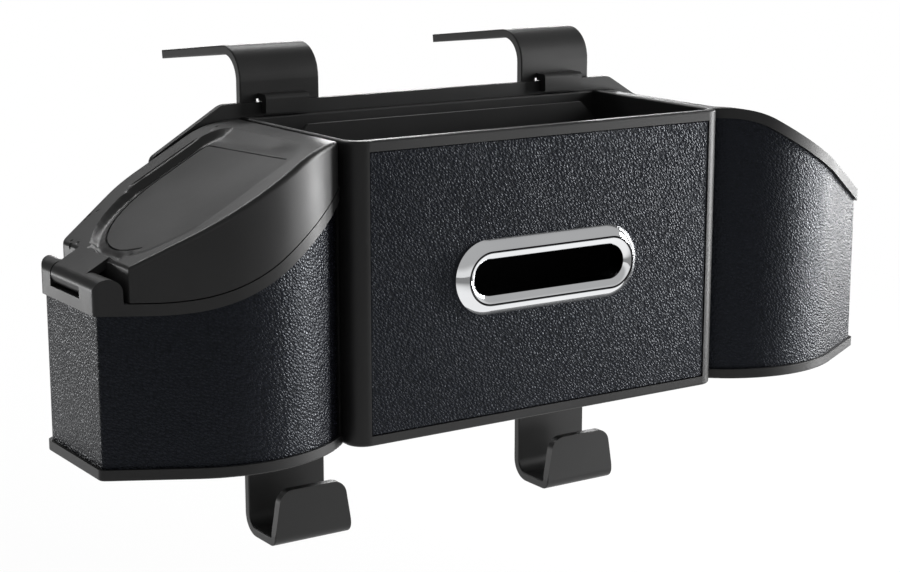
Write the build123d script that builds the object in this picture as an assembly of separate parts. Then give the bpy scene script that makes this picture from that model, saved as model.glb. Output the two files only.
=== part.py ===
"""Hanging organizer box: a middle box with a tissue slot, a lidded bin and an open bin, on two hanger straps."""

import math
import os

from build123d import *

# Middle box (width, height and depth outside, in millimetres)
BOX_W = 195.0
BOX_H = 128.0
BOX_DEPTH = 96.0
BOX_WALL = 2.6
BOX_CORNER_R = 8.0
RIM_ROUND = 1.2

# Leather pad in the front face and the border around it
PAD_BORDER_SIDE = 8.0
PAD_BORDER_TOP = 4.6
PAD_BORDER_BOTTOM = 4.4
PAD_T = 2.0
PAD_SINK = 0.4
PAD_GAP = 0.1

# Bright ring around the tissue slot
SLOT_W = 79.0
SLOT_H = 15.4
SLOT_Z = 65.4
RING_W = 8.6
RING_PROUD = 4.6
RING_FOOT = 0.8
RING_BAND_W = 4.5
RING_GROOVE_W = 0.9
RING_GROOVE_DEPTH = 0.8
RING_EDGE_H = 2.7
BAND_SWELL = 0.07
NECK_T = 1.5
NECK_GAP = 0.15

# Partition between tissue compartment and phone slot
DIVIDER_Y = 76.0
DIVIDER_T = 2.0
DIVIDER_TOP = 125.4
DIVIDER_CUT = 20.0
DIVIDER_GAP = 0.2
GUIDE_T = 1.6
GUIDE_DEPTH = 3.0
GUIDE_H = 96.0

# Plate behind the containers
PLATE_T = 3.0
PLATE_H = 134.0
PLATE_TOP_HALF = 106.5
PLATE_HALF = 141.0
PLATE_FALL_DEG = 31.1
PLATE_TOP_R = 8.0
PLATE_SIDE_R = 4.0
PLATE_FOOT_R = 10.0

# Plan of a bin: round nose beside the box, slanted run, end wall, slanted back corner
WING_GAP = 0.4
WING_X1 = 203.3
NOSE_R = 60.0
NOSE_X = 140.6
NOSE_Y = 52.3
SLANT_DEG = 28.8
REAR_Y = 71.9
REAR_DEG = 26.8
FRONT_CORNER_R = 3.5
REAR_CORNER_R = 5.0
REAR_BLEND_R = 34.0
MIN_CORNER_R = 0.5

# Layers of a bin wall and its floor tray
LIP = 1.5
WRAP_T = 1.2
BIN_WALL = 2.2
BASE_H = 4.5
FLOOR_T = 2.2
STRIP_W = 2.4
STRIP_SINK = 0.7
EDGE_R = 0.6

# Side view of the bins: upper profile, and the lower parting line under the lid
TOP_DROP = 0.4
TOP_X = 115.4
TOP_R = 45.0
TOP_DEG = 29.1
PART_Z = 71.1
PART_X = 154.9
PART_R = 95.0
PART_DEG = 33.6
RIM_T = 4.7
RIM_W = 5.4

# Lid and its hinge
LID_X1 = 191.2
LID_WALL = 2.2
LID_GAP = 0.6
LID_SEAT_GAP = 0.5
LID_EDGE_R = 2.0
CREST_REACH = 0.01
LID_INNER_R = 4.0
LID_FRONT_R = 1.5
LID_REAR_R = 6.0
EAR_R = 5.0
BARREL_R = 4.8
PIN_R = 1.5
PIN_SHRINK_FIT = 0.01
PIN_RUN_FIT = 0.06
TONGUE_Y0 = 32.7
TONGUE_Y1 = 60.6
TONGUE_T = 3.2
TONGUE_SIDE_GAP = 0.4
TROUGH_GAP = 0.6
PIN_Y0 = 22.0
PIN_Y1 = 72.0
PIN_END_GAP = 0.3

# Sunk panel on top of the lid
PANEL_R = 37.5
PANEL_X = 147.0
PANEL_Y = 39.0
PANEL_X0 = 124.0
PANEL_CORNER_R = 3.0
PANEL_DEPTH = 2.8
PANEL_FLUSH_Y = 4.0
PANEL_MARGIN = 7.0
PANEL_VALLEY = 14.0
PANEL_TROUGH = 1.5
TROUGH_FADE_Y = 8.0
TROUGH_FULL_Y = 34.0
PANEL_LIFT = 0.25
PANEL_GRID = 2.0
LINE_W = 0.8
LINE_DEPTH = 1.1
LINE_Y0 = 7.0
LINE_TAIL_Y0 = 22.0

# Hanger straps
STRAP_INSET = 21.5
STRAP_W = 40.0
STRAP_T = 4.0
HANG_DROP = 154.0
BEND_R = 11.0
FLANGE_DEG = 6.5
FLANGE_REACH = 73.0
HOOK_DROP = 65.4
HOOK_REAR_R = 10.0
HOOK_FRONT_R = 4.8
HOOK_LIP_Y = 74.3
HOOK_LIP_TOP = 39.3
HOOK_LIP_TOP_W = 33.0
HOOK_LIP_R = 7.0
STRAP_EDGE_R = 0.6
TAB_W = 22.0
TAB_GAP = 0.2
TAB_FOOT = 129.2
TAB_BRIDGE_T = 3.3
WINDOW_W = 24.0
WINDOW_H = 12.0
WINDOW_ABOVE_PLATE = 1.2
TAB_CREST_R = 2.0

# Screws
SCREW_R = 1.5
SCREW_HEAD_R = 3.2
SCREW_HEAD_H = 2.0
SCREW_LEN = 8.0
SCREW_HOLE_GAP = 0.2
SCREW_FIT = 0.03
SCREW_END_GAP = 0.3
DRIVE_T = 0.8
DRIVE_DEPTH = 1.0
BOSS_R = 3.6
BOSS_LEN = 3.4
HOOK_SCREW_R = 2.0
HOOK_SCREW_HEAD_R = 4.0
HOOK_SCREW_SINK = 0.2
HOOK_SCREW_LEN = 12.0
HOOK_BOSS_R = 4.6
BOX_SCREWS = [(35.0, 22.0), (35.0, 104.0)]
BIN_SCREWS = [(112.0, 22.0), (133.0, 22.0), (112.0, 58.0), (133.0, 58.0)]
HOOK_SCREWS_Z = [30.0, 96.0]

# Values that follow from the sizes above. All pieces are drawn from the lower front middle of the box.
BIG = 400.0
CUT_OVER = 1.0
TOP_Z = BOX_H - TOP_DROP
STRAP_X = BOX_W / 2 - STRAP_INSET
WING_X0 = BOX_W / 2 + WING_GAP
PLATE_FRONT = BOX_DEPTH
PLATE_BACK = PLATE_FRONT + PLATE_T
STRAP_BACK = PLATE_BACK + STRAP_T
TOP_SLOPE = math.radians(TOP_DEG)
PART_SLOPE = math.radians(PART_DEG)
WALL_INSET = LIP + WRAP_T
HINGE_X = WING_X1 - EAR_R
HINGE_Z = TOP_Z - (HINGE_X - TOP_X) * math.tan(TOP_SLOPE) - BARREL_R / math.cos(TOP_SLOPE)
FRONT_T = BOX_WALL + PAD_T + PAD_SINK
SCREW_END = PLATE_BACK - SCREW_LEN - SCREW_END_GAP
HOOK_SCREW_END = STRAP_BACK - HOOK_SCREW_SINK - HOOK_SCREW_LEN - SCREW_END_GAP
PLACE = Pos(0, -STRAP_BACK, -HANG_DROP)


def flip(shape):
    """The same shape on the other side of the middle plane."""
    return mirror(shape, about=Plane.YZ)


def block(x0, x1, y0, y1, z0, z1):
    """A box between six planes."""
    size = Box(x1 - x0, y1 - y0, z1 - z0)
    return Pos((x0 + x1) / 2, (y0 + y1) / 2, (z0 + z1) / 2) * size


def rod(radius, x, z, y0, y1):
    """A round bar along the front-to-back direction."""
    bar = Cylinder(radius, y1 - y0)
    return Pos(x, (y0 + y1) / 2, z) * Rot(90, 0, 0) * bar


def tall(face, z0, z1):
    """A plan drawing raised from one height to another."""
    return Pos(0, 0, z0) * extrude(face, z1 - z0, dir=(0, 0, 1))


def deep(face, y0, y1):
    """A front view drawing, x and z, run from one depth to another."""
    return Pos(0, y0, 0) * extrude(Plane.XZ * face, y1 - y0, dir=(0, 1, 0))


def rounded(sketch, x, y, radius):
    """The drawing with its corner nearest to a point rounded."""
    corner = sketch.vertices().sort_by_distance((x, y, 0))[0]
    return fillet(corner, radius)


def wing_plan(inset=0.0, hidden=0.0):
    """Plan of the right bin; inset moves the seen walls inward, hidden the walls against box and plate."""
    radius = NOSE_R - inset
    slant = math.radians(SLANT_DEG)
    rear = math.radians(REAR_DEG)
    x_in = WING_X0 + hidden
    x_end = WING_X1 - inset
    y_back = BOX_DEPTH - hidden
    first = -math.asin((NOSE_X - x_in) / radius)

    def nose(angle):
        return (NOSE_X + radius * math.sin(angle), NOSE_Y - radius * math.cos(angle))

    tangent = nose(slant)
    y_front = tangent[1] + (x_end - tangent[0]) * math.tan(slant)
    y_rear = REAR_Y + (WING_X1 - x_end) * math.tan(rear) - inset / math.cos(rear)
    x_back = x_end - (y_back - y_rear) / math.tan(rear)
    edges = [
        ThreePointArc(nose(first), nose((first + slant) / 2), tangent),
        Polyline(tangent, (x_end, y_front), (x_end, y_rear), (x_back, y_back), (x_in, y_back), nose(first)),
    ]
    plan = make_face(edges)
    plan = rounded(plan, x_end, y_front, max(FRONT_CORNER_R - inset, MIN_CORNER_R))
    plan = rounded(plan, x_end, y_rear, max(REAR_CORNER_R - inset, MIN_CORNER_R))
    return rounded(plan, x_back, y_back, REAR_BLEND_R - inset)


def under_top(drop):
    """Everything below the bins' upper profile, lowered square to it by drop."""
    radius = TOP_R - drop
    x_arc = TOP_X - TOP_R * math.tan(TOP_SLOPE / 2)
    z_arc = TOP_Z - TOP_R

    def arc(angle):
        return (x_arc + radius * math.sin(angle), z_arc + radius * math.cos(angle))

    end = arc(TOP_SLOPE)
    z_end = end[1] - (BIG - end[0]) * math.tan(TOP_SLOPE)
    edges = [
        ThreePointArc(arc(0), arc(TOP_SLOPE / 2), end),
        Polyline(end, (BIG, z_end), (BIG, -BIG), (0, -BIG), (0, TOP_Z - drop), arc(0)),
    ]
    return deep(make_face(edges), -BIG, BIG)


def under_parting(drop):
    """Everything below the parting line under the lid, lowered square to it by drop."""
    radius = PART_R + drop
    x_arc = PART_X + PART_R * math.tan(PART_SLOPE / 2)
    z_arc = PART_Z + PART_R

    def arc(angle):
        return (x_arc - radius * math.sin(angle), z_arc - radius * math.cos(angle))

    end = arc(PART_SLOPE)
    z_end = end[1] + end[0] * math.tan(PART_SLOPE)
    edges = [
        ThreePointArc(arc(0), arc(PART_SLOPE / 2), end),
        Polyline(end, (0, z_end), (0, -BIG), (BIG, -BIG), (BIG, PART_Z - drop), arc(0)),
    ]
    return deep(make_face(edges), -BIG, BIG)


def bin_base():
    """Floor tray with its proud lip; the wall stands on the ring around the pocket."""
    tray = tall(wing_plan(), 0, BASE_H)
    pocket = tall(wing_plan(WALL_INSET + BIN_WALL, BIN_WALL), FLOOR_T, BIG)
    lower = tray.edges().group_by(Axis.Z)[0]
    tray = fillet(lower, EDGE_R)
    return tray - pocket


def bin_wall(under):
    """Upright wall with flush strips where the leather ends, and screw bosses on the back wall."""
    shell = wing_plan(WALL_INSET) - wing_plan(WALL_INSET + BIN_WALL, BIN_WALL)
    proud = wing_plan(STRIP_SINK) - wing_plan(WALL_INSET)
    ends = Pos(WING_X0, 0) * Rectangle(2 * STRIP_W, BIG) + Pos(0, BOX_DEPTH) * Rectangle(2 * BIG, 2 * STRIP_W)
    wall = tall(shell, BASE_H, BIG) + tall(proud & ends, BASE_H, BIG)
    bosses, holes = back_bosses(BOX_DEPTH - BIN_WALL, BIN_SCREWS, BOSS_R, SCREW_R + SCREW_FIT, SCREW_END)
    return ((wall + bosses) & under) - holes


def bin_wrap(under):
    """Leather cover on the seen side of the wall, between the two strips."""
    cover = wing_plan(LIP) - wing_plan(WALL_INSET)
    ends = Pos(WING_X0, 0) * Rectangle(2 * STRIP_W, BIG) + Pos(0, BOX_DEPTH) * Rectangle(2 * BIG, 2 * STRIP_W)
    return tall(cover - ends, BASE_H, BIG) & under


def bin_rim(under, lowered):
    """Rim band that follows the upper edge of the wall."""
    ring = wing_plan() - wing_plan(RIM_W, RIM_W)
    return (tall(ring, BASE_H, BIG) & under) - lowered


def hinged_rim():
    """Rim of the left bin with its two hinge ears, the trough under the barrel and the pin bore."""
    rim = bin_rim(under_parting(0), under_parting(RIM_T))
    ear = Pos(HINGE_X, HINGE_Z) * Circle(EAR_R)
    ear += Pos(HINGE_X, (HINGE_Z + PART_Z - RIM_T) / 2) * Rectangle(2 * EAR_R, HINGE_Z - PART_Z + RIM_T)
    ears = deep(ear, 0, TONGUE_Y0 - TONGUE_SIDE_GAP) + deep(ear, TONGUE_Y1 + TONGUE_SIDE_GAP, BOX_DEPTH)
    rim += ears & tall(wing_plan(), 0, BIG)
    trough = rod(BARREL_R + TROUGH_GAP, HINGE_X, HINGE_Z, TONGUE_Y0 - TONGUE_SIDE_GAP, TONGUE_Y1 + TONGUE_SIDE_GAP)
    rim -= trough
    return rim - rod(PIN_R + PIN_SHRINK_FIT, HINGE_X, HINGE_Z, PIN_Y0, BOX_DEPTH)


def panel_plan(margin):
    """Plan of the sunk lid panel: straight towards the box, half round towards the hinge."""
    radius = PANEL_R + margin
    x0 = PANEL_X0 - margin
    plan = Pos(PANEL_X, PANEL_Y) * (Circle(radius) & (Pos(radius / 2, 0) * Rectangle(radius, 2 * radius)))
    plan += Pos((x0 + PANEL_X) / 2, PANEL_Y) * Rectangle(PANEL_X - x0, 2 * radius)
    for side in (-1, 1):
        plan = rounded(plan, x0, PANEL_Y + side * radius, PANEL_CORNER_R + margin)
    return plan


def above_panel(lift):
    """Everything above the panel's plane, which meets the lid's slope in front and sinks towards the back."""
    run = PANEL_Y + PANEL_R - PANEL_FLUSH_Y
    along = Vector(math.cos(TOP_SLOPE), 0, -math.sin(TOP_SLOPE))
    back = Vector(0, run, -PANEL_DEPTH / math.cos(TOP_SLOPE))
    normal = along.cross(back).normalized()
    corner = Vector(TOP_X, PANEL_FLUSH_Y, TOP_Z) + normal * lift
    plane = Plane(origin=corner, x_dir=along, z_dir=normal)
    return plane * (Pos(0, 0, BIG / 2) * Box(2 * BIG, 2 * BIG, BIG))


def top_height(x):
    """Height of the bins' upper profile."""
    x_arc = TOP_X - TOP_R * math.tan(TOP_SLOPE / 2)
    if x < x_arc:
        return TOP_Z
    if x < x_arc + TOP_R * math.sin(TOP_SLOPE):
        return TOP_Z - TOP_R + math.sqrt(TOP_R**2 - (x - x_arc) ** 2)
    return TOP_Z - (x - TOP_X) * math.tan(TOP_SLOPE)


def beside_panel(x, y):
    """Distance from the panel's outline, negative inside; it counts slower over the valley beside the box."""
    if x > PANEL_X:
        return math.hypot(x - PANEL_X, y - PANEL_Y) - PANEL_R
    across = (PANEL_X0 - x) * PANEL_MARGIN / PANEL_VALLEY + PANEL_CORNER_R
    along = abs(y - PANEL_Y) - PANEL_R + PANEL_CORNER_R
    outside = math.hypot(max(across, 0), max(along, 0))
    return outside + min(max(across, along), 0) - PANEL_CORNER_R


def smooth(share):
    """Eases a share between 0 and 1 at both ends."""
    share = min(max(share, 0), 1)
    return share * share * (3 - 2 * share)


def panel_height(x, y):
    """Height of the lid's face: a soft step and trough around the panel, a little above the border elsewhere."""
    ramp = min(max(1 - beside_panel(x, y) / PANEL_MARGIN, 0), 1)
    share = smooth(ramp)
    sink = PANEL_DEPTH * (y - PANEL_FLUSH_Y) / (PANEL_Y + PANEL_R - PANEL_FLUSH_Y)
    trough = PANEL_TROUGH * smooth((y - TROUGH_FADE_Y) / (TROUGH_FULL_Y - TROUGH_FADE_Y))
    bowl = (4 * ramp * (1 - ramp)) ** 2
    return top_height(x) - sink * share - trough * bowl + PANEL_LIFT * (1 - share)


def above_face():
    """Everything above the soft step and the panel."""
    spread = PANEL_MARGIN + PANEL_GRID
    x0 = PANEL_X0 - PANEL_VALLEY - PANEL_GRID
    y0 = PANEL_Y - PANEL_R - spread
    columns = math.ceil((PANEL_X + PANEL_R + spread - x0) / PANEL_GRID)
    rows = math.ceil((2 * PANEL_R + 2 * spread) / PANEL_GRID)
    points = []
    for i in range(columns + 1):
        x = x0 + i * PANEL_GRID
        line = [y0 + j * PANEL_GRID for j in range(rows + 1)]
        points.append([(x, y, panel_height(x, y)) for y in line])
    return extrude(Face.make_surface_from_array_of_points(points), BIG, dir=(0, 0, 1))


def panel_line():
    """Fine line around the panel, left out along the front."""
    ring = panel_plan(LINE_W / 2) - panel_plan(-LINE_W / 2)
    line = tall(ring, 0, BIG) & above_panel(-LINE_DEPTH)
    kept = block(0, PANEL_X, LINE_Y0, BIG, 0, BIG) + block(PANEL_X, BIG, LINE_TAIL_Y0, BIG, 0, BIG)
    return line & kept


def lid():
    """One-piece lid: skirt down to the parting line, sunk panel on top, tongue with the hinge barrel."""
    plan = wing_plan(0, LID_GAP) & (Pos(LID_X1 / 2, 0) * Rectangle(LID_X1, BIG))
    plan = fillet(plan.vertices().group_by(Axis.X)[-1].sort_by(Axis.Y)[-1], LID_REAR_R)
    plan = fillet(plan.vertices().group_by(Axis.X)[-1].sort_by(Axis.Y)[0], LID_FRONT_R)
    plan = fillet(plan.vertices().group_by(Axis.X)[0].sort_by(Axis.Y)[0], LID_INNER_R)
    body = tall(plan, 0, BIG) & under_top(0)
    crest = [edge for edge in body.edges() if on_crest(edge)]
    body = fillet(crest, LID_EDGE_R) - under_parting(-LID_SEAT_GAP)
    inside = wing_plan(LID_WALL, LID_GAP + LID_WALL)
    inside &= Pos((LID_X1 - LID_WALL) / 2, 0) * Rectangle(LID_X1 - LID_WALL, BIG)
    cavity = tall(inside, 0, BIG) & under_top(LID_WALL)
    cavity -= above_panel(-LID_WALL - PANEL_TROUGH / 2)
    body -= cavity
    body -= above_face()
    body -= panel_line()
    body += tongue()
    bore = rod(PIN_R + PIN_RUN_FIT, HINGE_X, HINGE_Z, TONGUE_Y0 - CUT_OVER, TONGUE_Y1 + CUT_OVER)
    return body - bore


def on_crest(edge):
    """Whether an edge of the lid block runs along its upper outline."""
    middle = edge.position_at(0.5)
    across = abs(edge.tangent_at(0.5).Y) > 0.999
    seam = across and middle.X > WING_X0 + LID_GAP + CUT_OVER
    return abs(middle.Z - top_height(middle.X)) < CREST_REACH and not seam


def tongue():
    """Tongue that runs from the lid's slope into the round barrel on the pin."""
    out = Vector(math.sin(TOP_SLOPE), math.cos(TOP_SLOPE))
    up = Vector(-math.cos(TOP_SLOPE), math.sin(TOP_SLOPE))
    end = Vector(HINGE_X, HINGE_Z) + out * BARREL_R
    start = end + up * ((end.X - LID_X1 + LID_WALL / 2) / math.cos(TOP_SLOPE))
    slab = make_face(Polyline(end, start, start - out * TONGUE_T, end - out * TONGUE_T, close=True))
    return deep(slab, TONGUE_Y0, TONGUE_Y1) + rod(BARREL_R, HINGE_X, HINGE_Z, TONGUE_Y0, TONGUE_Y1)


def slot_plan(margin):
    """Outline of the tissue slot, widened by a margin."""
    return Pos(0, SLOT_Z) * SlotOverall(SLOT_W + 2 * margin, SLOT_H + 2 * margin)


def back_bosses(inner_y, spots, radius, hole_r, hole_y):
    """Round bosses on the inside of a back wall and the screw holes through them."""
    bosses = [rod(radius, x, z, inner_y - BOSS_LEN, inner_y) for x, z in spots]
    holes = [rod(hole_r, x, z, hole_y, BOX_DEPTH) for x, z in spots]
    return bosses, holes


def middle_box():
    """Open box with a sunk field in front, the slot hole, guides for the partition and screw bosses."""
    half = BOX_W / 2
    plan = Pos(0, BOX_DEPTH / 2) * Rectangle(BOX_W, BOX_DEPTH)
    plan = fillet(plan.vertices().group_by(Axis.Y)[0], BOX_CORNER_R)
    shell = tall(plan, 0, BOX_H)
    room_y = BOX_DEPTH - BOX_WALL - FRONT_T
    room = Pos(0, FRONT_T + room_y / 2) * Rectangle(BOX_W - 2 * BOX_WALL, room_y)
    room = fillet(room.vertices().group_by(Axis.Y)[0], BOX_CORNER_R - BOX_WALL)
    shell -= tall(room, BOX_WALL, BIG)
    shell = fillet(shell.edges().group_by(Axis.Z)[-1], RIM_ROUND)
    shell = fillet(shell.edges().group_by(Axis.Z)[0].sort_by(Axis.Y)[:-1], RIM_ROUND)
    shell -= pad_block(PAD_GAP, -CUT_OVER, PAD_SINK + PAD_T)
    shell -= deep(slot_plan(NECK_T + NECK_GAP), -CUT_OVER, FRONT_T + CUT_OVER)
    for side in (-1, 1):
        for y in (DIVIDER_Y - DIVIDER_GAP - GUIDE_T, DIVIDER_Y + DIVIDER_T + DIVIDER_GAP):
            inner = half - BOX_WALL
            guide = block(inner - GUIDE_DEPTH, inner, y, y + GUIDE_T, BOX_WALL, GUIDE_H)
            shell += guide if side > 0 else flip(guide)
    spots = mirrored(BOX_SCREWS)
    hook_spots = [(x, z) for x in (-STRAP_X, STRAP_X) for z in HOOK_SCREWS_Z]
    wall_y = BOX_DEPTH - BOX_WALL
    bosses, holes = back_bosses(wall_y, spots, BOSS_R, SCREW_R + SCREW_FIT, SCREW_END)
    more, more_holes = back_bosses(wall_y, hook_spots, HOOK_BOSS_R, HOOK_SCREW_R + SCREW_FIT, HOOK_SCREW_END)
    return (shell + bosses + more) - (holes + more_holes)


def mirrored(spots):
    """Screw spots on both sides of the middle."""
    return [(side * x, z) for side in (-1, 1) for x, z in spots]


def pad_block(gap, y0, y1):
    """Field of the pad in the front face, widened by a gap."""
    half = BOX_W / 2 - PAD_BORDER_SIDE + gap
    return block(-half, half, y0, y1, PAD_BORDER_BOTTOM - gap, BOX_H - PAD_BORDER_TOP + gap)


def front_pad():
    """Leather-covered pad with the hole for the ring."""
    pad = pad_block(0, PAD_SINK, PAD_SINK + PAD_T)
    pad = fillet(pad.edges().group_by(Axis.Y)[0], EDGE_R)
    return pad - deep(slot_plan(NECK_T + NECK_GAP), -CUT_OVER, FRONT_T)


def slot_bezel():
    """Ring with a sloped outer band, a groove at its crest and a sloped inner band; its neck goes through the wall."""
    a = SLOT_H / 2
    outer = a + RING_W
    crest = outer - RING_BAND_W
    flare = crest - RING_GROOVE_W
    bottom = RING_PROUD - RING_GROOVE_DEPTH
    deep_end = PAD_SINK - FRONT_T - NECK_T

    def at(radius, height):
        return (PAD_SINK - height, radius)

    def swell(start, end):
        """A rounded band between two points of radius and height, swollen towards the front."""
        middle = ((start[0] + end[0]) / 2, (start[1] + end[1]) / 2)
        run = (end[0] - start[0], end[1] - start[1])
        bulge = (middle[0] + run[1] * BAND_SWELL, middle[1] - run[0] * BAND_SWELL)
        return ThreePointArc(at(*start), at(*bulge), at(*end))

    band = swell((outer, RING_FOOT), (crest, RING_PROUD))
    lips = Polyline(at(crest, RING_PROUD), at(crest, bottom), at(flare, bottom), at(flare, RING_PROUD))
    inner = swell((flare, RING_PROUD), (a, RING_EDGE_H))
    neck = Polyline(
        at(a, RING_EDGE_H),
        at(a, deep_end),
        at(a + NECK_T, deep_end),
        at(a + NECK_T, 0),
        at(outer, 0),
        at(outer, RING_FOOT),
    )
    profile = make_face([band, lips, inner, neck])
    half = (SLOT_W - SLOT_H) / 2
    section = Pos(0, 0, SLOT_Z) * (Plane.YZ * profile)
    run = extrude(section, half, both=True)
    turn = Pos(half, 0, 0) * section
    end = revolve(turn, Axis((half, 0, SLOT_Z), (0, 1, 0)), 180)
    lower = mirror(run, about=Plane.XY.offset(SLOT_Z))
    return run + lower + end + flip(end)


def divider():
    """Partition with cut-off upper corners."""
    half = BOX_W / 2 - BOX_WALL - DIVIDER_GAP
    face = Pos(0, (BOX_WALL + DIVIDER_TOP) / 2) * Rectangle(2 * half, DIVIDER_TOP - BOX_WALL)
    face = chamfer(face.vertices().group_by(Axis.Y)[-1], DIVIDER_CUT)
    return deep(face, DIVIDER_Y, DIVIDER_Y + DIVIDER_T)


def back_plate():
    """Plate with a level top edge that falls off to both sides, and its screw holes."""
    fall = (PLATE_HALF - PLATE_TOP_HALF) * math.tan(math.radians(PLATE_FALL_DEG))
    side_z = PLATE_H - fall
    right = [(PLATE_HALF, 0), (PLATE_HALF, side_z), (PLATE_TOP_HALF, PLATE_H)]
    left = [(-x, z) for x, z in reversed(right)]
    face = make_face(Polyline(*right, *left, close=True))
    for x, z, radius in zip(
        (PLATE_HALF, PLATE_HALF, PLATE_TOP_HALF),
        (0, side_z, PLATE_H),
        (PLATE_FOOT_R, PLATE_SIDE_R, PLATE_TOP_R),
    ):
        face = rounded(face, x, z, radius)
        face = rounded(face, -x, z, radius)
    plate = deep(face, PLATE_FRONT, PLATE_BACK)
    for x, z in mirrored(BOX_SCREWS + BIN_SCREWS):
        plate -= rod(SCREW_R + SCREW_HOLE_GAP, x, z, PLATE_FRONT - CUT_OVER, PLATE_BACK + CUT_OVER)
    for x, z in mirrored([(STRAP_X, z) for z in HOOK_SCREWS_Z]):
        plate -= rod(HOOK_SCREW_R + SCREW_HOLE_GAP, x, z, PLATE_FRONT - CUT_OVER, PLATE_BACK + CUT_OVER)
    return plate


def bend(center, radius, start, end):
    """An arc between two angles in degrees."""
    points = []
    for angle in (start, (start + end) / 2, end):
        turn = math.radians(angle)
        points.append((center[0] + radius * math.cos(turn), center[1] + radius * math.sin(turn)))
    return ThreePointArc(*points)


def strap_side():
    """Side view of a hanger: flange, strap and bag hook as one bent strip."""
    crown = (STRAP_BACK + BEND_R, HANG_DROP - BEND_R)
    rear = (STRAP_BACK - HOOK_REAR_R, HOOK_REAR_R - HOOK_DROP)
    front = (HOOK_LIP_Y + HOOK_FRONT_R, HOOK_FRONT_R - HOOK_DROP)
    fall = math.radians(FLANGE_DEG)
    edges = []
    ends = []
    for grow in (0, STRAP_T):
        flange = bend(crown, BEND_R + grow, 90 - FLANGE_DEG, 180)
        heel = bend(rear, HOOK_REAR_R - grow, 0, -90)
        toe = bend(front, HOOK_FRONT_R - grow, -90, -180)
        first = flange @ 0
        reach = (STRAP_BACK + FLANGE_REACH - crown[0]) / math.cos(fall)
        tip = first + Vector(math.cos(fall), -math.sin(fall)) * reach
        lip = Vector((toe @ 1).X, -HOOK_LIP_TOP)
        edges += [Line(tip, first), flange, Line(flange @ 1, heel @ 0), heel]
        edges += [Line(heel @ 1, toe @ 0), toe, Line(toe @ 1, lip)]
        ends.append((tip, lip))
    edges += [Line(ends[0][0], ends[1][0]), Line(ends[0][1], ends[1][1])]
    return make_face(edges)


def hook():
    """Right hanger: bent strip with a tab over the plate's edge, a window behind the tab and a tapered lip."""
    strip = extrude(Plane.YZ * strap_side(), STRAP_W / 2, both=True)
    sides = strip.faces().filter_by(Axis.X)
    strip = fillet(sides.edges(), STRAP_EDGE_R)
    low = HOOK_FRONT_R - HOOK_DROP
    lip = make_face(
        Polyline(
            (-STRAP_W / 2, low),
            (STRAP_W / 2, low),
            (HOOK_LIP_TOP_W / 2, -HOOK_LIP_TOP),
            (-HOOK_LIP_TOP_W / 2, -HOOK_LIP_TOP),
            close=True,
        )
    )
    lip = fillet(lip.vertices().group_by(Axis.Y)[-1], HOOK_LIP_R)
    high = CUT_OVER - HOOK_LIP_TOP
    field = Pos(0, (low + high) / 2) * Rectangle(STRAP_W + 2 * CUT_OVER, high - low)
    strip -= deep(field - lip, HOOK_LIP_Y - CUT_OVER, HOOK_LIP_Y + STRAP_T + CUT_OVER)
    window_top = PLATE_H + WINDOW_ABOVE_PLATE
    half = WINDOW_W / 2
    strip -= block(-half, half, PLATE_BACK - CUT_OVER, STRAP_BACK + CUT_OVER, window_top - WINDOW_H, window_top)
    bridge_z = PLATE_H + TAB_GAP
    tab_y = PLATE_FRONT - TAB_GAP
    half = TAB_W / 2
    tab = block(-half, half, tab_y - STRAP_T, tab_y, TAB_FOOT, bridge_z + TAB_BRIDGE_T)
    tab += block(-half, half, tab_y - STRAP_T, PLATE_BACK, bridge_z, bridge_z + TAB_BRIDGE_T)
    crest = tab.edges().filter_by(Axis.X).sort_by_distance((0, tab_y - STRAP_T, bridge_z + TAB_BRIDGE_T))[0]
    strip += fillet(crest, TAB_CREST_R)
    hanger = Pos(STRAP_X, 0, 0) * strip
    for z in HOOK_SCREWS_Z:
        hanger -= Pos(STRAP_X, 0, z) * hook_screw(SCREW_HOLE_GAP)
    return hanger


def turned(points):
    """A body turned about the front-to-back direction from points of radius and depth."""
    return revolve(make_face(Polyline(*points, close=True)), Axis.Y)


def cross(y, reach):
    """Cross recess for a driver, sunk from a screw's rear face."""
    half = DRIVE_T / 2
    bars = block(-reach, reach, y - DRIVE_DEPTH, y + CUT_OVER, -half, half)
    return bars + block(-half, half, y - DRIVE_DEPTH, y + CUT_OVER, -reach, reach)


def plate_screw():
    """Pan-head screw from the back of the plate."""
    top = PLATE_BACK + SCREW_HEAD_H
    tip = PLATE_BACK - SCREW_LEN
    points = [(0, tip), (SCREW_R, tip), (SCREW_R, PLATE_BACK), (SCREW_HEAD_R, PLATE_BACK)]
    points += [(SCREW_HEAD_R, top - SCREW_HEAD_H / 2), (SCREW_HEAD_R - SCREW_HEAD_H / 2, top), (0, top)]
    return turned(points) - cross(top, SCREW_R)


def hook_screw(gap):
    """Countersunk screw through strap, plate and box; with a gap it is the hole for it in the strap."""
    top = STRAP_BACK - HOOK_SCREW_SINK
    tip = top - HOOK_SCREW_LEN
    shank = HOOK_SCREW_R + gap
    head = HOOK_SCREW_HEAD_R + gap
    neck = top - (head - shank)
    points = [(0, tip), (shank, tip), (shank, neck), (head, top)]
    if gap:
        rear = STRAP_BACK + CUT_OVER
        return turned(points + [(head, rear), (0, rear)])
    return turned(points + [(0, top)]) - cross(top, HOOK_SCREW_R)


def hinge_pin():
    """Plain pin through both ears and the barrel."""
    return rod(PIN_R, HINGE_X, HINGE_Z, PIN_Y0 + PIN_END_GAP, PIN_Y1)


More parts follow.
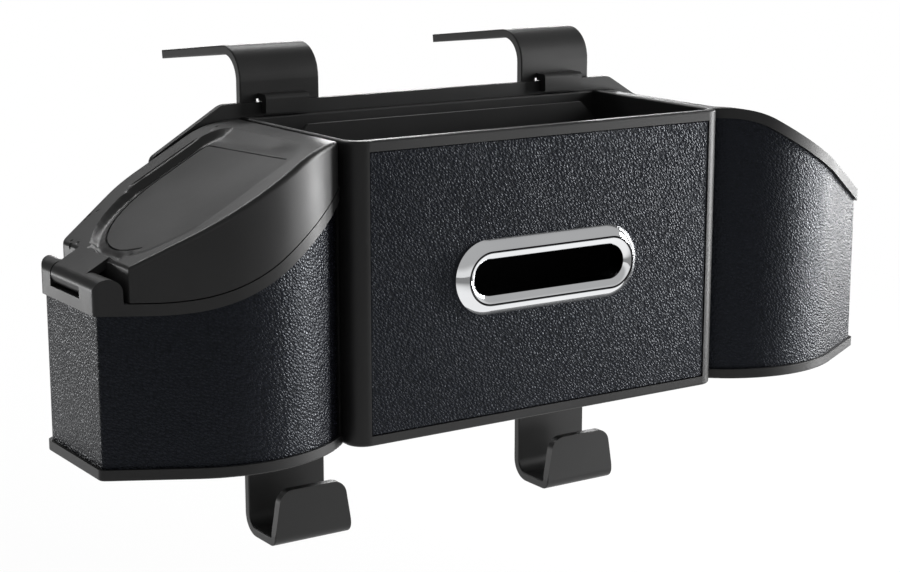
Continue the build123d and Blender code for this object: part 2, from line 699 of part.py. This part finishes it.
def build():
    """All pieces by name."""
    right = under_top(RIM_T)
    left = under_parting(RIM_T)
    strap = hook()
    screws = [Pos(x, 0, z) * plate_screw() for x, z in mirrored(BOX_SCREWS + BIN_SCREWS)]
    strap_spots = mirrored([(STRAP_X, z) for z in HOOK_SCREWS_Z])
    strap_screws = [Pos(x, 0, z) * hook_screw(0) for x, z in strap_spots]
    return {
        "back_plate": back_plate(),
        "middle_box": middle_box(),
        "front_pad": front_pad(),
        "slot_bezel": slot_bezel(),
        "divider": divider(),
        "left_bin_base": flip(bin_base()),
        "left_bin_wall": flip(bin_wall(left)),
        "left_bin_wrap": flip(bin_wrap(left)),
        "left_bin_rim": flip(hinged_rim()),
        "right_bin_base": bin_base(),
        "right_bin_wall": bin_wall(right),
        "right_bin_wrap": bin_wrap(right),
        "right_bin_rim": bin_rim(under_top(0), right),
        "lid": flip(lid()),
        "hinge_pin": flip(hinge_pin()),
        "left_hook": flip(strap),
        "right_hook": strap,
        "plate_screws": Compound(screws),
        "hook_screws": Compound(strap_screws),
    }


os.makedirs("parts", exist_ok=True)
for name, shape in build().items():
    export_step(PLACE * shape, f"parts/{name}.step")
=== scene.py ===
import math

import bpy
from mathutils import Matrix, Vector


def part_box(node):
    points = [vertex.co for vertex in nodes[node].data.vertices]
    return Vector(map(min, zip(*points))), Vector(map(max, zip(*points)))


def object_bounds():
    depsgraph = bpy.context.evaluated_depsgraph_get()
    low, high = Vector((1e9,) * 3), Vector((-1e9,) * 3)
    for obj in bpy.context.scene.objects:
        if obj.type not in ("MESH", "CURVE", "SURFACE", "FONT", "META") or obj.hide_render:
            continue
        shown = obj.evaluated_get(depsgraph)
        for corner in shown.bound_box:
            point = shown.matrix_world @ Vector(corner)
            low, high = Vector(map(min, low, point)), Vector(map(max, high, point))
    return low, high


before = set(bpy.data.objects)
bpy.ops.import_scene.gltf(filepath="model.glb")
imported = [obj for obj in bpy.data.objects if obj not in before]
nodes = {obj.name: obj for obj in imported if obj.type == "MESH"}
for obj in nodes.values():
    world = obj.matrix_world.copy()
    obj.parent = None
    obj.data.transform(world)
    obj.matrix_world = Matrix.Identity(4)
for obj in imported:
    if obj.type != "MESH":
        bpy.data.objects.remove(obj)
cad_lo, cad_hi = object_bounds()

# Ring round the tissue slot, in metres; its place and outer size come from the frame
RING_WIDTH = 0.0086
GROOVE_INSET = 0.00495
# Painted shade: half widths of the dark band along the groove, and where the dark starts and ends
# inside the neck
GROOVE_DARK_HALF = 0.00036
GROOVE_FADE_HALF = 0.00054
NECK_FADE_START = 0.0000385
NECK_FADE_END = 0.000154
ring_lo, ring_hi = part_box("slot_bezel")
RING_R = (ring_hi.z - ring_lo.z) / 2
SLOT_STRAIGHT = (ring_hi.x - ring_lo.x) / 2 - RING_R
SLOT_HEIGHT = (ring_hi.z + ring_lo.z) / 2
NECK_R = RING_R - RING_WIDTH
GROOVE_R = RING_R - GROOVE_INSET

# Part of a noise texture's range that most of its values lie in
NOISE_LOW = 0.3
NOISE_HIGH = 0.7

# How far a surface's roughness falls and rises from patch to patch
SMOOTHER = 0.04
ROUGHER = 0.05

# Plastic: heights in metres
PLASTIC_SHINE = 0.33
PLASTIC_GRAIN = 0.10
PLASTIC_GRAIN_HEIGHT = 0.0002
SCUFF_STRETCH = (1.0, 9.0, 3.0)
SCUFF_START = 0.60
SCUFF_END = 0.78
SCUFF_GLOSS = 0.10

# Leather: cells per metre, crease and dome widths in cells, heights and sway in metres
CELLS = 880.0
CELL_STRETCH = (1.55, 1.1, 0.9)
CELL_SLANT = math.radians(35.0)
CELL_SWAY = 0.0005
CELL_SMOOTHNESS = 0.35
CREASE_WIDTH = 0.16
DOME_REACH = 0.75
CREASE_SHARE = 0.35
PORE_SHARE = 0.05
GRAIN_HEIGHT = 0.000135
GRAIN_STRENGTH = 1.0
WAVE_HEIGHT = 0.0012
WAVE_STRENGTH = 0.15
# Painted shade: the creases' colour is far darker than the cells' and stands in for the shade that
# falls in them
CREASE_SHADE_COLOUR = (0.0004, 0.0004, 0.0005)
CELL_COLOUR = (0.0078, 0.0084, 0.0125)
CREASE_ROUGH = 0.36
CELL_ROUGH = 0.20
LEATHER_SHINE = 0.17
LEATHER_TINT = (0.80, 0.88, 1.0, 1)

# Metal: scratch height in metres, and shares of its roughness that the scratches span
SCRATCH_HEIGHT = 0.0001
BRUSH_STRETCH = (1.0, 12.0, 1.0)
HAZE_LOW = 0.7
HAZE_HIGH = 1.5
# Painted shade: the near-black colour laid in the ring's groove and inside its neck
GROOVE_SHADE_COLOUR = (0.008, 0.008, 0.009)

# Studio: light levels, directions as parts of a unit vector, and distances in metres
AMBIENT = 0.25
SKY_COLOUR = (0.8, 0.8, 0.8, 1)
FRONT_LEVEL = 1.00
FAR_LEVEL = 0.25
CEILING_LEVEL = 0.55
CEILING_START = 0.10
CEILING_END = 0.42
BACK_START = -0.2
BACK_END = 0.6
FLOOR_COLOUR = (0.82, 0.82, 0.82, 1)
FLOOR_DROP = 0.10
FLOOR_REACH = 6.0
FLOOR_SIDES = 96
SHADOW_NEAR = 0.35
SHADOW_FAR = 1.10
SHADOW_WHITE = 0.88

# Lamps all face this point; places and sizes in metres, power in watts
LAMP_AIM = Vector((0.0, -0.05, -0.09))
LAMPS = [
    dict(name="right_back", place=(1.25, 0.16, 0.00), width=0.22, height=0.80, power=8.0),
    dict(name="right_box", place=(1.00, -0.38, 0.00), width=0.18, height=0.80, power=18.0),
    dict(name="right_low", place=(0.62, -0.60, -0.20), width=0.16, height=0.20, power=0.9),
    dict(name="left_low", place=(-0.70, 0.85, -0.24), width=0.25, height=0.12, power=1.2),
    dict(name="top_back", place=(0.10, 0.80, 0.80), width=1.30, height=0.20, power=8.5),
    dict(name="back_strip", place=(0.62, 1.00, 0.16), width=0.60, height=0.12, power=4.0),
]

# Camera: place in metres, lens and sensor in millimetres
CAMERA_PLACE = (-0.50445, -0.78729, 0.08673)
CAMERA_PITCH = math.radians(77.84)
CAMERA_TURN = math.radians(-33.54)
LENS_MM = 80.09
SENSOR_MM = 36.0

# Sockets of the colour Mix node, which share their names with hidden ones
MIX_FACTOR = 0
MIX_FIRST = 6
MIX_SECOND = 7
MIX_COLOUR = 2


class Nodes:
    """A node tree, with short ways to add nodes and to link them."""

    def __init__(self, tree):
        self.tree = tree
        tree.nodes.clear()

    def node(self, kind, **settings):
        """Adds a node and sets its properties."""
        made = self.tree.nodes.new(kind)
        for key, value in settings.items():
            setattr(made, key, value)
        return made

    def feed(self, socket, item):
        """Links an output to the socket, or sets a plain value on it."""
        if isinstance(item, bpy.types.NodeSocket):
            self.tree.links.new(item, socket)
        else:
            socket.default_value = item

    def maths(self, kind, *items):
        """The result of a Math node, from outputs or plain numbers."""
        made = self.node("ShaderNodeMath", operation=kind)
        for socket, item in zip(made.inputs, items):
            self.feed(socket, item)
        return made.outputs["Value"]

    def length(self, vector):
        """The length of a vector."""
        made = self.node("ShaderNodeVectorMath", operation="LENGTH")
        self.feed(made.inputs[0], vector)
        return made.outputs["Value"]

    def spread(self, item, low, high, start=0.0, end=1.0, interpolation="LINEAR"):
        """Maps a value from start..end to low..high, and holds it at both ends."""
        made = self.node("ShaderNodeMapRange", interpolation_type=interpolation)
        self.feed(made.inputs["Value"], item)
        self.feed(made.inputs["From Min"], start)
        self.feed(made.inputs["From Max"], end)
        self.feed(made.inputs["To Min"], low)
        self.feed(made.inputs["To Max"], high)
        return made.outputs["Result"]


class Shader(Nodes):
    """A procedural material: a Principled shader and the nodes that feed it."""

    def __init__(self, name):
        self.material = bpy.data.materials.new(name)
        self.material.use_nodes = True
        super().__init__(self.material.node_tree)
        self.bsdf = self.node("ShaderNodeBsdfPrincipled")
        out = self.node("ShaderNodeOutputMaterial")
        self.feed(out.inputs["Surface"], self.bsdf.outputs["BSDF"])
        self.place = self.node("ShaderNodeTexCoord").outputs["Object"]

    def mapped(self, stretch):
        """Object coordinates, stretched along the axes."""
        made = self.node("ShaderNodeMapping")
        self.feed(made.inputs["Vector"], self.place)
        self.feed(made.inputs["Scale"], stretch)
        return made.outputs["Vector"]

    def noise(self, scale, detail, roughness=0.55, stretch=None, output="Fac"):
        """A noise texture on the object's coordinates."""
        made = self.node("ShaderNodeTexNoise")
        self.feed(made.inputs["Vector"], self.mapped(stretch) if stretch else self.place)
        self.feed(made.inputs["Scale"], scale)
        self.feed(made.inputs["Detail"], detail)
        self.feed(made.inputs["Roughness"], roughness)
        return made.outputs[output]

    def cells(self, feature, vector):
        """A Voronoi texture's distances, and its node."""
        made = self.node("ShaderNodeTexVoronoi", feature=feature)
        self.feed(made.inputs["Vector"], vector)
        self.feed(made.inputs["Scale"], CELLS)
        return made.outputs["Distance"], made

    def mixed(self, factor, first, second):
        """A colour between two colours, each an output or a plain colour."""
        made = self.node("ShaderNodeMix", data_type="RGBA")
        self.feed(made.inputs[MIX_FACTOR], factor)
        self.feed(made.inputs[MIX_FIRST], first)
        self.feed(made.inputs[MIX_SECOND], second)
        return made.outputs[MIX_COLOUR]

    def bump(self, height, strength, distance):
        """A bump node; its Normal input is free for another bump under it."""
        made = self.node("ShaderNodeBump")
        self.feed(made.inputs["Height"], height)
        self.feed(made.inputs["Strength"], strength)
        self.feed(made.inputs["Distance"], distance)
        return made

    def finish(self, **sockets):
        """Feeds the Principled shader; a socket's spaces are written as underscores."""
        for key, item in sockets.items():
            self.feed(self.bsdf.inputs[key.replace("_", " ")], item)


def opaque(colour):
    """A colour with full alpha."""
    return (*colour, 1)


def plastic(name, dark, light, rough):
    """Satin moulded plastic: spark-eroded grain, uneven gloss and a few rubbed scuffs."""
    s = Shader(name)
    cloud = s.noise(scale=22.0, detail=4.0)
    grit = s.noise(scale=1900.0, detail=2.0, roughness=0.6)
    scuff = s.noise(scale=60.0, detail=5.0, roughness=0.7, stretch=SCUFF_STRETCH)
    rubbed = s.spread(scuff, 0.0, SCUFF_GLOSS, SCUFF_START, SCUFF_END)
    patch = s.spread(cloud, rough - SMOOTHER, rough + ROUGHER, NOISE_LOW, NOISE_HIGH)
    s.finish(
        Base_Color=s.mixed(cloud, opaque(dark), opaque(light)),
        Roughness=s.maths("SUBTRACT", patch, rubbed),
        Normal=s.bump(grit, PLASTIC_GRAIN, PLASTIC_GRAIN_HEIGHT).outputs["Normal"],
        Specular_IOR_Level=PLASTIC_SHINE,
    )
    return s.material


def slanted_rows(s):
    """Object coordinates turned so that the leather's cells lie in slanting, slightly wavy rows."""
    sway = s.node("ShaderNodeVectorMath", operation="SCALE")
    s.feed(sway.inputs[0], s.noise(scale=170.0, detail=2.0, output="Color"))
    s.feed(sway.inputs["Scale"], CELL_SWAY)
    rows = s.node("ShaderNodeMapping", vector_type="TEXTURE")
    s.feed(rows.inputs["Vector"], s.place)
    s.feed(rows.inputs["Rotation"], (0.0, CELL_SLANT, 0.0))
    s.feed(rows.inputs["Scale"], CELL_STRETCH)
    moved = s.node("ShaderNodeVectorMath", operation="ADD")
    s.feed(moved.inputs[0], rows.outputs["Vector"])
    s.feed(moved.inputs[1], sway.outputs["Vector"])
    return moved.outputs["Vector"]


def leather(name):
    """Pebbled black leather: small domed cells with creases between them, and painted shade that
    darkens the creases.
    """
    s = Shader(name)
    rows = slanted_rows(s)
    to_crease, _ = s.cells("DISTANCE_TO_EDGE", rows)
    to_middle, domes = s.cells("SMOOTH_F1", rows)
    s.feed(domes.inputs["Smoothness"], CELL_SMOOTHNESS)
    cell = s.spread(to_crease, 0.0, 1.0, end=CREASE_WIDTH)
    dome = s.spread(to_middle, 1.0, 0.0, end=DOME_REACH)
    pores = s.noise(scale=4200.0, detail=2.0)
    soft = s.noise(scale=34.0, detail=3.0)
    pebble = s.maths("MULTIPLY_ADD", cell, CREASE_SHARE, dome)
    height = s.maths("MULTIPLY_ADD", pores, PORE_SHARE, pebble)
    wave = s.bump(soft, WAVE_STRENGTH, WAVE_HEIGHT)
    grain = s.bump(height, GRAIN_STRENGTH, GRAIN_HEIGHT)
    s.feed(grain.inputs["Normal"], wave.outputs["Normal"])
    rough = s.spread(cell, CREASE_ROUGH, CELL_ROUGH)
    worn = s.spread(soft, -SMOOTHER, ROUGHER, NOISE_LOW, NOISE_HIGH)
    s.finish(
        # Painted shade: the base colour goes dark towards the creases
        Base_Color=s.mixed(cell, opaque(CREASE_SHADE_COLOUR), opaque(CELL_COLOUR)),
        Roughness=s.maths("ADD", rough, worn),
        Normal=grain.outputs["Normal"],
        Specular_IOR_Level=LEATHER_SHINE,
        Specular_Tint=LEATHER_TINT,
    )
    return s.material


def metal(name, dark, light, rough, scratch, stretch=None):
    """The shader of a plated or brushed metal with fine scratches, and its colour."""
    s = Shader(name)
    cloud = s.noise(scale=40.0, detail=3.0)
    lines = s.noise(scale=300.0, detail=4.0, roughness=0.6, stretch=stretch)
    colour = s.mixed(cloud, opaque(dark), opaque(light))
    s.finish(
        Base_Color=colour,
        Roughness=s.spread(lines, rough * HAZE_LOW, rough * HAZE_HIGH, NOISE_LOW, NOISE_HIGH),
        Normal=s.bump(lines, scratch, SCRATCH_HEIGHT).outputs["Normal"],
        Metallic=1.0,
    )
    return s, colour


def from_slot_line(s):
    """Distance from the straight line that the slot's two round ends are centred on."""
    split = s.node("ShaderNodeSeparateXYZ")
    s.feed(split.inputs[0], s.place)
    side = s.maths("ABSOLUTE", split.outputs["X"])
    past = s.maths("MAXIMUM", s.maths("SUBTRACT", side, SLOT_STRAIGHT), 0.0)
    rise = s.maths("SUBTRACT", split.outputs["Z"], SLOT_HEIGHT)
    joined = s.node("ShaderNodeCombineXYZ")
    s.feed(joined.inputs["X"], past)
    s.feed(joined.inputs["Y"], rise)
    return s.length(joined.outputs["Vector"])


def ring_metal(name):
    """Bright plating, with painted shade in the groove that runs round the slot and inside the
    neck.
    """
    s, plating = metal(
        name, dark=(0.80, 0.81, 0.83), light=(0.90, 0.91, 0.92), rough=0.05, scratch=0.03
    )
    reach = from_slot_line(s)
    # Painted shade: the plating goes near-black along the groove and inside the neck, where shade
    # and dark reflections fall
    off_groove = s.maths("ABSOLUTE", s.maths("SUBTRACT", reach, GROOVE_R))
    groove = s.spread(off_groove, 1.0, 0.0, GROOVE_DARK_HALF, GROOVE_FADE_HALF)
    neck = s.spread(reach, 1.0, 0.0, NECK_R + NECK_FADE_START, NECK_R + NECK_FADE_END)
    dark = s.maths("MAXIMUM", groove, neck)
    s.finish(Base_Color=s.mixed(dark, plating, opaque(GROOVE_SHADE_COLOUR)))
    return s.material


def steel(name):
    """Plain brushed steel of the pin and the screws."""
    s, _ = metal(
        name,
        dark=(0.42, 0.42, 0.43),
        light=(0.55, 0.55, 0.56),
        rough=0.28,
        scratch=0.12,
        stretch=BRUSH_STRETCH,
    )
    return s.material


FRAME_PLASTIC = plastic(
    "frame_plastic", dark=(0.011, 0.011, 0.0113), light=(0.015, 0.015, 0.0153), rough=0.44
)
# Painted light: the lid's plastic is a lighter copy of the frame's dark plastic and stands in for
# the light on the lid's top
LID_PLASTIC_PAINTED_LIGHT = plastic(
    "lid_plastic", dark=(0.022, 0.022, 0.0222), light=(0.028, 0.028, 0.0282), rough=0.36
)
HOOK_PLASTIC = plastic(
    "hook_plastic", dark=(0.014, 0.014, 0.014), light=(0.019, 0.019, 0.0189), rough=0.40
)
LEATHER = leather("leather_black")
CHROME = ring_metal("bright_chrome")
STEEL = steel("plain_steel")

FINISHES = {
    "back_plate": FRAME_PLASTIC,
    "middle_box": FRAME_PLASTIC,
    "divider": FRAME_PLASTIC,
    "front_pad": LEATHER,
    "slot_bezel": CHROME,
    "left_bin_base": FRAME_PLASTIC,
    "right_bin_base": FRAME_PLASTIC,
    "left_bin_wall": FRAME_PLASTIC,
    "right_bin_wall": FRAME_PLASTIC,
    "left_bin_wrap": LEATHER,
    "right_bin_wrap": LEATHER,
    # Painted light: the left bin's rim takes the lid's lighter copy of the dark plastic
    "left_bin_rim": LID_PLASTIC_PAINTED_LIGHT,
    "right_bin_rim": FRAME_PLASTIC,
    "lid": LID_PLASTIC_PAINTED_LIGHT,
    "hinge_pin": STEEL,
    "left_hook": HOOK_PLASTIC,
    "right_hook": HOOK_PLASTIC,
    "plate_screws": STEEL,
    "hook_screws": STEEL,
}
for name, finish in FINISHES.items():
    nodes[name].data.materials.clear()
    nodes[name].data.materials.append(finish)


def is_seen(n):
    """1 for camera, glossy and transmission rays, and 0 for the light that falls on the object."""
    path = n.node("ShaderNodeLightPath")
    shown = n.maths("MAXIMUM", path.outputs["Is Camera Ray"], path.outputs["Is Glossy Ray"])
    return n.maths("MAXIMUM", shown, path.outputs["Is Transmission Ray"])


def full_to_camera(n, level):
    """Strength 1 to the camera, and the given level in reflections."""
    path = n.node("ShaderNodeLightPath")
    return n.maths("MAXIMUM", path.outputs["Is Camera Ray"], level)


def join_output(n, kind, share, lit, white):
    """Sends a mix of the lit and the white shader to the tree's output."""
    mix = n.node("ShaderNodeMixShader")
    for socket, item in zip(mix.inputs, (share, lit.outputs[0], white.outputs[0])):
        n.feed(socket, item)
    n.feed(n.node(kind).inputs["Surface"], mix.outputs[0])


def studio_world():
    """Pale to the camera; reflections see a bright front and a dim back and ceiling."""
    world = bpy.data.worlds.new("studio")
    bpy.context.scene.world = world
    world.use_nodes = True
    n = Nodes(world.node_tree)
    split = n.node("ShaderNodeSeparateXYZ")
    n.feed(split.inputs[0], n.node("ShaderNodeTexCoord").outputs["Generated"])
    up = n.spread(
        split.outputs["Z"], 1.0, CEILING_LEVEL, CEILING_START, CEILING_END, "SMOOTHSTEP"
    )
    back = n.spread(
        split.outputs["Y"], FRONT_LEVEL, FAR_LEVEL, BACK_START, BACK_END, "SMOOTHSTEP"
    )
    lit = n.node("ShaderNodeBackground")
    n.feed(lit.inputs["Color"], SKY_COLOUR)
    n.feed(lit.inputs["Strength"], AMBIENT)
    white = n.node("ShaderNodeBackground")
    n.feed(white.inputs["Color"], SKY_COLOUR)
    n.feed(white.inputs["Strength"], full_to_camera(n, n.maths("MULTIPLY", back, up)))
    join_output(n, "ShaderNodeOutputWorld", is_seen(n), lit, white)


def floor_material():
    """White, with a share of lit floor near the object that keeps its soft shadow."""
    made = bpy.data.materials.new("pale_floor")
    made.use_nodes = True
    n = Nodes(made.node_tree)
    far = n.length(n.node("ShaderNodeTexCoord").outputs["Object"])
    level = n.spread(far, FRONT_LEVEL, FAR_LEVEL, SHADOW_NEAR, SHADOW_FAR, "SMOOTHSTEP")
    fade = n.spread(far, SHADOW_WHITE, 1.0, SHADOW_NEAR, SHADOW_FAR, "SMOOTHSTEP")
    lit = n.node("ShaderNodeBsdfDiffuse")
    n.feed(lit.inputs["Color"], FLOOR_COLOUR)
    white = n.node("ShaderNodeEmission")
    n.feed(white.inputs["Strength"], full_to_camera(n, level))
    share = n.maths("MULTIPLY", is_seen(n), fade)
    join_output(n, "ShaderNodeOutputMaterial", share, lit, white)
    return made


def studio_floor():
    """A round pale floor below the object."""
    bpy.ops.mesh.primitive_circle_add(
        vertices=FLOOR_SIDES,
        radius=FLOOR_REACH,
        fill_type="NGON",
        location=(0, 0, cad_lo.z - FLOOR_DROP),
    )
    floor = bpy.context.object
    floor.name = "floor"
    floor.data.materials.append(floor_material())


def soft_box(name, place, width, height, power):
    """A rectangular lamp that faces the object."""
    lamp = bpy.data.lights.new(name, "AREA")
    lamp.shape = "RECTANGLE"
    lamp.size = width
    lamp.size_y = height
    lamp.energy = power
    held = bpy.data.objects.new(name, lamp)
    bpy.context.scene.collection.objects.link(held)
    held.location = place
    held.rotation_euler = (LAMP_AIM - Vector(place)).to_track_quat("-Z", "Y").to_euler()


def photo_camera():
    """The camera that took the photograph, fitted to its straight edges."""
    camera = bpy.data.cameras.new("camera")
    camera.sensor_width = SENSOR_MM
    camera.lens = LENS_MM
    seat = bpy.data.objects.new("camera", camera)
    bpy.context.scene.collection.objects.link(seat)
    seat.location = CAMERA_PLACE
    seat.rotation_euler = (CAMERA_PITCH, 0.0, CAMERA_TURN)
    bpy.context.scene.camera = seat


studio_world()
studio_floor()
for lamp in LAMPS:
    soft_box(**lamp)
photo_camera()
bpy.context.scene.view_settings.view_transform = "Standard"
